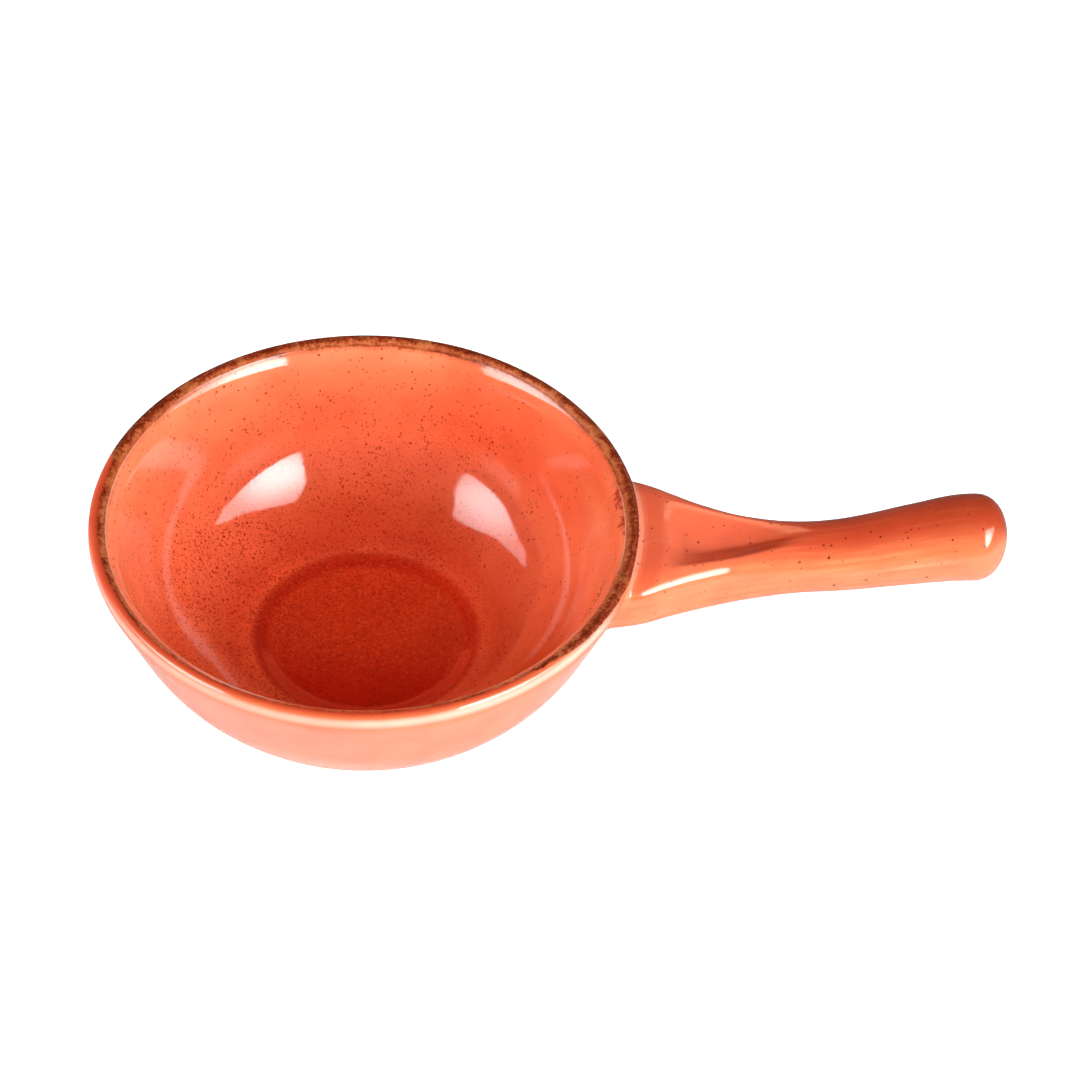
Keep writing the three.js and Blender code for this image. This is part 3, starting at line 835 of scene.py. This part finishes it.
def grip_rings(turns, starts):
    """Rings of places from the given reaches to the closed tip, a little closer at the root."""
    tip_start = REACH - TIP_ROUNDING
    rings = []
    for k in range(BODY_RINGS + 1):
        share = (k / BODY_RINGS) ** ROOT_CROWDING
        rings.append([handle_place(start + (tip_start - start) * share, turn)
                      for start, turn in zip(starts, turns)])
    for k in range(1, TIP_RINGS + 1):
        sweep = math.pi / 2 * k / TIP_RINGS
        reach = tip_start + TIP_ROUNDING * math.sin(sweep) ** (2 / TIP_SQUARE)
        rings.append([handle_place(reach, turn, max(math.cos(sweep), 0)) for turn in turns])
    return rings


def lofted(name, rings, turns, under, thickness):
    """A skin through rings of places, made by extruding the first ring on and on, and its wall.

    The skin lies a depth under those places, and the wall's thickness lies inside it."""
    form = bmesh.new()
    order = form.verts.layers.int.new("order")
    over_layer, side_layer, bowl_layer, scoop_layer = (
        form.verts.layers.float.new(layer) for layer in HANDLE_LAYERS)
    circle = bmesh.ops.create_circle(form, segments=len(turns), radius=1)["verts"]
    circle.sort(key=lambda vert: math.atan2(vert.co.y, vert.co.x) % (2 * math.pi))
    for i, vert in enumerate(circle):
        vert[order], vert[over_layer], vert[side_layer] = i, math.sin(turns[i]), math.cos(turns[i])
        vert.co = Vector(rings[0][i]) * MM
    edges = list(form.edges)
    for count, ring in enumerate(rings[1:]):
        grown = bmesh.ops.extrude_edge_only(form, edges=edges)["geom"]
        verts = {part for part in grown if isinstance(part, bmesh.types.BMVert)}
        for vert in verts:
            place = ring[vert[order]]
            vert.co = Vector(place) * MM
            vert[bowl_layer] = off_bowl(place)[0] if count < NEAR_RINGS else FAR_OFF
            if vert[over_layer] > 0:
                vert[scoop_layer] = scooped(*place[:2]) / SCOOP["depth"]
        edges = [part for part in grown
                 if isinstance(part, bmesh.types.BMEdge) and verts.issuperset(part.verts)]
    bmesh.ops.remove_doubles(form, verts=form.verts, dist=SAME_POINT * MM)
    bmesh.ops.recalc_face_normals(form, faces=form.faces)
    form.normal_update()
    outwards = sum(face.normal.dot(face.calc_center_median() - GRIP_MIDDLE) * face.calc_area()
                   for face in form.faces if face.calc_center_median().x > GRIP_MIDDLE.x)
    if outwards < 0:
        bmesh.ops.reverse_faces(form, faces=form.faces)
        form.normal_update()
    for vert in form.verts:
        vert.co += vert.normal * (uneven(vert.co) - under * MM)
    piece = placed(name, form, smooth=True)
    wall = piece.modifiers.new("wall", "SOLIDIFY")
    wall.thickness = thickness * MM
    wall.offset = -1
    return piece


def vented(piece):
    """The small vent that was pierced through the underside of the root."""
    form = bmesh.new()
    radius = VENT["radius"] * MM
    bmesh.ops.create_cone(form, cap_ends=True, segments=48, radius1=radius, radius2=radius,
                          depth=VENT["drill"] * MM)
    bmesh.ops.translate(form, verts=form.verts, vec=(VENT["reach"] * MM, 0, VENT["height"] * MM))
    drill = placed("drill", form)
    cut = piece.modifiers.new("vent", "BOOLEAN")
    cut.operation, cut.solver, cut.object = "DIFFERENCE", "EXACT", drill
    depsgraph = bpy.context.evaluated_depsgraph_get()
    finished = bpy.data.meshes.new_from_object(piece.evaluated_get(depsgraph))
    piece.modifiers.clear()
    piece.data = finished
    bpy.data.objects.remove(drill)
    finished.set_sharp_from_angle(angle=math.radians(VENT["smooth_up_to"]))


def even_turns(count):
    """Turns that space their places evenly round the start of the scoop."""
    dense = np.linspace(0, 2 * math.pi, 4001)
    ring = np.array([handle_place(SCOOP["start"], turn) for turn in dense])
    run = np.concatenate([[0], np.cumsum(np.linalg.norm(np.diff(ring, axis=0), axis=1))])
    return np.interp((np.arange(count) + 0.5) / count * run[-1], run, dense).tolist()


def handle_glaze(name):
    """The outside glaze on the handle: paler where it ran thin and as painted light on the front and
    underside, with painted shade on top and in the scoop, painted highlights on the scoop's far edge
    and at the joint, and a few iron specks.
    """
    finish, place = new_finish(name)
    reach = add("SeparateXYZ", {0: place}).outputs[0]
    over, side, from_bowl, in_scoop = (told(place, layer) for layer in HANDLE_LAYERS)
    # On top and on the far side the glaze is painted deeper, partly thicker glaze and partly painted
    # shade; near the root the top is less deep.
    deep_and_shaded = fade(work("MULTIPLY_ADD", side, 0.35, over), 0.12, 0.9)
    on_top = tinted(tone(*HANDLE_TINTS["root"]), fade(reach, 0.088, 0.118), HANDLE_TINTS["deep_and_shaded"])
    colour = blended(deep_and_shaded, tone(*HANDLE_TINTS["thin"]), on_top)
    drawn = add("CombineXYZ", {0: times(reach, 0.07), 1: times(side, STREAK_TURN * MM),
                               2: times(over, STREAK_TURN * MM)}).outputs[0]
    streaks = grain(drawn, 1.5, 3.0, 0.6)
    streaked = times(between(deep_and_shaded, 1.0, 0.2), fade(reach, 0.158, 0.146))
    for tint, kind, share in (
            ("tip", "MULTIPLY", times(fade(reach, 0.136, 0.152), deep_and_shaded)),
            ("deepened", "MIX", times(fade(from_bowl, 1.4, 2.4), fade(from_bowl, 7.6, 4.6),
                                    fade(over, 0.0, 0.5), 0.6)),
            # Painted shade on the scoop's near wall.
            ("scoop_wall_shade", "MIX", times(fade(in_scoop, 0.0, 0.16), fade(side, 0.01, -0.09),
                                        fade(reach, 0.0765, 0.087), 0.75)),
            # Painted highlight along the scoop's far edge.
            ("thin_ridge_highlight", "MIX", times(fade(in_scoop, 0.0, 0.03), fade(in_scoop, 0.24, 0.08),
                                   fade(side, 0.02, 0.12), 0.5)),
            # Painted highlight on the fillet at the joint, where the glaze was also wiped thin.
            ("wiped", "MIX", times(fade(from_bowl, 1.3, 0.6), fade(over, 0.3, 0.8), 0.75)),
            ("streak_pale", "MIX", times(fade(streaks, 0.52, 0.68), streaked, 0.35)),
            ("streak_dark", "MULTIPLY", times(fade(streaks, 0.48, 0.32), streaked, 0.5))):
        colour = tinted(colour, share, HANDLE_TINTS[tint], kind)
    colour = clouded(place, colour)
    specks = work("MAXIMUM", speckled(place, 1.9, 0.17, 0.7),
                  speckled(place, 3.9, 0.12, 0.8, OTHER_CELLS))
    colour = tinted(colour, times(specks, 0.95), HANDLE_TINTS["specks"])
    surfaced(colour, orange_peel(place, times(specks, -0.5)), *GLAZE_GLOSS)
    return finish


turns = even_turns(HANDLE_TURNS)
starts = [reach_off_bowl(turn, fillet_size(turn)) for turn in turns]
handle_coat = lofted("handle_coat", fillet_rings(turns) + grip_rings(turns, starts), turns, 0, GLAZE)
vented(handle_coat)
handle_coat.data.materials.append(handle_glaze("handle glaze"))
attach(handle_coat, "root")
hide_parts("handle_glaze")

# Clay inside the handle
# The handle's own cast wall, hollow inside, and the slip that joins it to the bowl. Both
# lie under the glaze and show only through the small vent under the root.
HANDLE_WALL = 3.4
SLIP = 0.8
CAST_CLAY = (220, 196, 160), (196, 168, 130)  # pale and dark
SLIP_CLAY = (206, 182, 146), (184, 156, 118)

turns = turns[::2]
ends = [reach_off_bowl(turn, SLIP + 2 * COAT_GAP) for turn in turns]
handle_clay = lofted("handle_clay", grip_rings(turns, ends), turns, GLAZE + COAT_GAP, HANDLE_WALL)
vented(handle_clay)
handle_clay.data.materials.append(clay_finish("cast clay", *CAST_CLAY))
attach(handle_clay, "root")
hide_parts("handle_shell")
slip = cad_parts["handle_lute"].data.materials
slip.clear()
slip.append(clay_finish("joining slip", *SLIP_CLAY))

# Floor, light and camera
# A plain pale floor, two large soft boxes at the sides with weak fill lamps beside and in
# front of them, and the camera at the photograph's angle.
FLOOR_HALF = 3.0
FLOOR_PALE, FLOOR_BEHIND = (0.9, 0.9, 0.9, 1), (0.2, 0.2, 0.2, 1)
LIFT_NEAR, LIFT_FAR = 0.6, 1.0  # the floor's own white, which only the camera sees
LAMP_DISTANCE = 1.2
FRONT_DISTANCE = 1.3
AIMED_AT = Vector((0, 0, 0.04))  # the middle of the bowl
# Azimuth, elevation, corners in metres, the brightest place, and the levels there and far off.
RIGHT_BOX = (65, 38, [
    (-0.64, -0.4), (-0.37, -0.39), (-0.1, -0.345), (0.17, -0.285), (0.42, -0.23), (0.62, -0.12),
    (0.48, -0.02), (0.3, 0.08), (0.14, 0.24), (0.03, 0.35), (-0.06, 0.4), (-0.19, 0.33),
    (-0.33, 0.22), (-0.46, 0.01)], (-0.25, -0.15), 14.8, 4.2)
LEFT_BOX = (-78, 40, [
    (0.64, -0.26), (0.55, -0.065), (0.455, 0.105), (0.09, 0.39), (0.04, 0.375), (-0.14, 0.23),
    (-0.29, 0.1), (-0.43, 0.04), (-0.66, -0.07), (-0.47, -0.165), (-0.34, -0.14), (-0.11, -0.215),
    (0.12, -0.295), (0.38, -0.305), (0.51, -0.315)], (0.17, -0.08), 9.0, 2.8)
# Azimuth, elevation, distance, width and height in metres, and watts.
FILLS = {"front_fill": (16, 4.2, FRONT_DISTANCE, 2.4, 0.25, 12.5),
         "side_fill_right": (88, 24, LAMP_DISTANCE, 0.6, 0.6, 0.4),
         "side_fill_left": (-88, 24, LAMP_DISTANCE, 0.6, 0.6, 4.6)}
CAMERA_PLACE = (0.044515, -0.542119, 0.586976)
CAMERA_RIGHT = (0.99870965, 0.03586967, 0.03594986)
CAMERA_UP = (-0.05078411, 0.70540546, 0.7069824)
FOCAL_LENGTH, SENSOR_WIDTH = 100.0, 36.0

form = bmesh.new()
bmesh.ops.create_grid(form, x_segments=1, y_segments=1, size=FLOOR_HALF)
floor = placed("floor", form)
finish, place = new_finish("pale floor")
seen = add("LightPath", tree=finish.node_tree).outputs["Is Camera Ray"]
behind = fade(add("SeparateXYZ", {0: place}).outputs[1], -0.02, 0.12)
behind = times(behind, work("SUBTRACT", 1.0, seen))
matt = add("BsdfDiffuse", {"Color": blended(behind, FLOOR_PALE, FLOOR_BEHIND)})
distance = vector("LENGTH", place, result=1)
level = between(fade(distance, 0.35, 0.9), LIFT_NEAR, LIFT_FAR)
lift = add("Emission", {"Color": (1, 1, 1, 1), "Strength": times(seen, level)})
both = add("AddShader", {0: matt.outputs[0], 1: lift.outputs[0]})
add("OutputMaterial", {"Surface": both.outputs[0]})
floor.data.materials.append(finish)


def facing_bowl(azimuth, elevation, distance):
    """A place and turn that faces the bowl; azimuth 0 is on the camera's side and 90 over +X."""
    a, e = math.radians(azimuth), math.radians(elevation)
    direction = Vector((math.sin(a) * math.cos(e), -math.cos(a) * math.cos(e), math.sin(e)))
    turn = direction.to_track_quat("Z", "Y").to_matrix().to_4x4()
    return Matrix.Translation(AIMED_AT + direction * distance) @ turn


def soft_box(name, azimuth, elevation, corners, heart, bright, dim):
    """A soft box with the given corners, brightest at its heart."""
    form = bmesh.new()
    made = bmesh.ops.create_circle(form, cap_ends=True, segments=len(corners), radius=1)["verts"]
    for vert, corner in zip(made, corners):
        vert.co = Vector((*corner, 0))
    form.normal_update()
    box = placed(name, form)
    box.matrix_world = facing_bowl(azimuth, elevation, LAMP_DISTANCE)
    finish, place = new_finish(name)
    off_heart = vector("DISTANCE", place, (*heart, 0), result=1)
    glow = between(fade(off_heart, 0.08, 0.62), bright, dim)
    light = add("Emission", {"Strength": glow})
    add("OutputMaterial", {"Surface": light.outputs[0]})
    box.data.materials.append(finish)


soft_box("soft_box_right", *RIGHT_BOX)
soft_box("soft_box_left", *LEFT_BOX)
for name, (azimuth, elevation, distance, width, height, watts) in FILLS.items():
    lamp = bpy.data.lights.new(name, "AREA")
    lamp.shape = "RECTANGLE"
    lamp.size, lamp.size_y = width, height
    lamp.energy = watts
    fill = bpy.data.objects.new(name, lamp)
    fill.matrix_world = facing_bowl(azimuth, elevation, distance)
    fill.visible_glossy = False
    bpy.context.scene.collection.objects.link(fill)

world = bpy.data.worlds.new("studio")
bpy.context.scene.world = world
world.use_nodes = True
tree = world.node_tree
tree.nodes.clear()
seen = add("LightPath", tree=tree).outputs["Is Camera Ray"]
up = add("SeparateXYZ", {0: add("TexCoord", tree=tree).outputs["Generated"]}).outputs[2]
dark_room = between(fade(up, 0.5, 0.0), 0.02, 0.12)
backing = add("Background", {"Color": (1, 1, 1, 1), "Strength": work("MAXIMUM", seen, dark_room)})
add("OutputWorld", {"Surface": backing.outputs[0]})

lens = bpy.data.cameras.new("view")
lens.lens = FOCAL_LENGTH
lens.sensor_width = SENSOR_WIDTH
lens.clip_start, lens.clip_end = 0.05, 20.0
camera = bpy.data.objects.new("view", lens)
right, up = Vector(CAMERA_RIGHT), Vector(CAMERA_UP)
turn = Matrix((right, up, right.cross(up))).transposed().to_4x4()
camera.matrix_world = Matrix.Translation(CAMERA_PLACE) @ turn
bpy.context.scene.collection.objects.link(camera)
bpy.context.scene.camera = camera
bpy.context.scene.view_settings.view_transform = "Standard"
